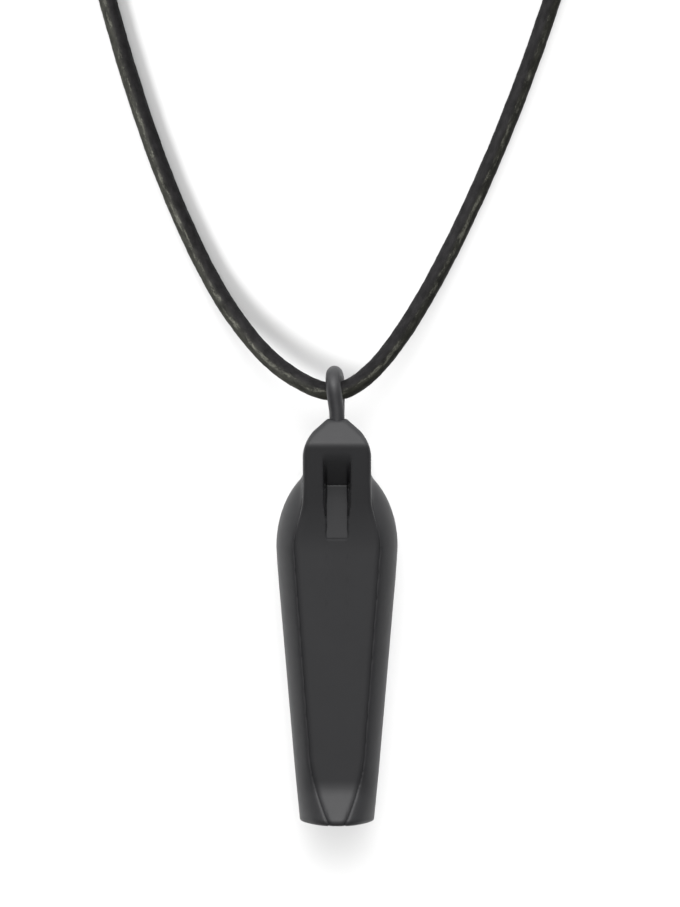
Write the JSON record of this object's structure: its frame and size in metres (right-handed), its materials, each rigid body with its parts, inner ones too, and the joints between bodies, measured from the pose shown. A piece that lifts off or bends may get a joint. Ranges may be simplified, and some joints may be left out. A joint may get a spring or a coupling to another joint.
{
  "type": "duck call",
  "caption": "Slim tapered game call on a neck cord, with a reed and tone board inside, a sound outlet slot, a wire bail and a snap clasp.",
  "frame": {"origin": "bottom centre of the call as it lies on its back, without its neck cord", "axes": "+Y from the mouthpiece to the bail, +Z out of the front face, +X to the right seen from the front"},
  "size_m": [0.094, 0.1887, 0.0164],
  "materials": {
    "shell_moulding": "fine satin texture",
    "bail_wire": "satin dark coating",
    "pin_metal": "satin",
    "inlet_rubber": "soft matt",
    "seal_rubber": "soft matt",
    "tone_moulding": "polished amber",
    "reed_film": "thin clear film",
    "cork": "cork grain",
    "cord_leather": "waxed, with fine pale specks",
    "clasp_metal": "black nickel",
    "spring_steel": "bright wire"
  },
  "bodies": {
    "neck_cord": {"neck_cord": "cord_leather", "left_coil": "cord_leather", "right_coil": "cord_leather", "left_tail": "cord_leather", "right_tail": "cord_leather", "left_end_cap": "clasp_metal", "right_end_cap": "clasp_metal", "clasp_ring": "clasp_metal", "closing_ring": "clasp_metal"},
    "call": {"rear_shell": "shell_moulding", "front_cover": "shell_moulding", "bail": "bail_wire", "cover_pins": "pin_metal", "sound_ramp": "shell_moulding", "inlet_sleeve": "inlet_rubber", "tone_plug": "tone_moulding", "plug_seal": "seal_rubber", "tone_board": "tone_moulding", "reed_wedge": "cork"},
    "reed": {"reed": "reed_film"},
    "clasp": {"clasp_body": "clasp_metal", "gate_pin": "spring_steel", "gate_spring": "spring_steel"},
    "clasp_gate": {"clasp_gate": "clasp_metal"}
  },
  "joints": [
    {"name": "call_swing", "type": "hinge", "parent": "neck_cord", "child": "call", "pos_m": [0, 0.034, 0.009], "axis": [-1, 0, 0], "range_deg": [0, 100]},
    {"name": "reed_flex", "type": "hinge", "parent": "call", "child": "reed", "pos_m": [0, 0.00585, 0.00745], "axis": [1, 0, 0], "range_deg": [-1, 1.6], "stiffness_Nm_per_rad": 0.002},
    {"name": "clasp_swing", "type": "hinge", "parent": "neck_cord", "child": "clasp", "pos_m": [-0.0061, 0.1482, 0.00235], "axis": [0, 0, 1], "range_deg": [-60, 60]},
    {"name": "gate_open", "type": "hinge", "parent": "clasp", "child": "clasp_gate", "pos_m": [-0.0033, 0.14625, 0.00235], "axis": [0, 0, 1], "range_deg": [0, 28], "stiffness_Nm_per_rad": 0.0004}
  ]
}
